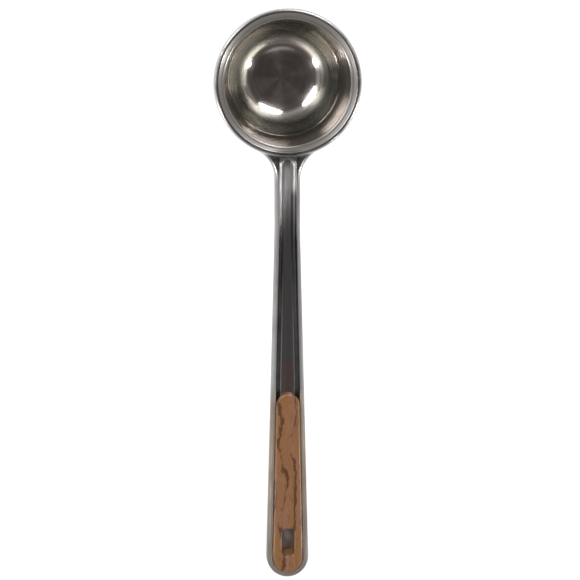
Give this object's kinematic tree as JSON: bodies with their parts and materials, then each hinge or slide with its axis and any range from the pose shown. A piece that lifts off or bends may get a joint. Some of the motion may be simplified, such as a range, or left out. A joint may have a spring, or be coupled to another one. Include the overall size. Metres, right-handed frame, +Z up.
{
  "type": "soup ladle",
  "caption": "Polished steel soup ladle with a beaded bowl, a long tapering grooved handle and a wood-grain grip inlay with a hanging slot.",
  "frame": {"origin": "centre of the bounding box on the surface that the ladle lies on, bowl upwards", "axes": "+Z up, +Y from the handle's end towards the bowl, +X to the right of a viewer above who has the bowl at the top"},
  "size_m": [0.09, 0.3476, 0.0523],
  "materials": {
    "steel": "polished stainless, faint circular polish in the bowl and faint lengthwise polish on the handle",
    "inlay": "satin moulded plastic with a brown wood-grain surface",
    "screws": "plain stainless"
  },
  "bodies": {
    "root": {"ladle_body": "steel", "grip_inlay": "inlay", "inlay_screws": "screws"}
  },
  "joints": []
}
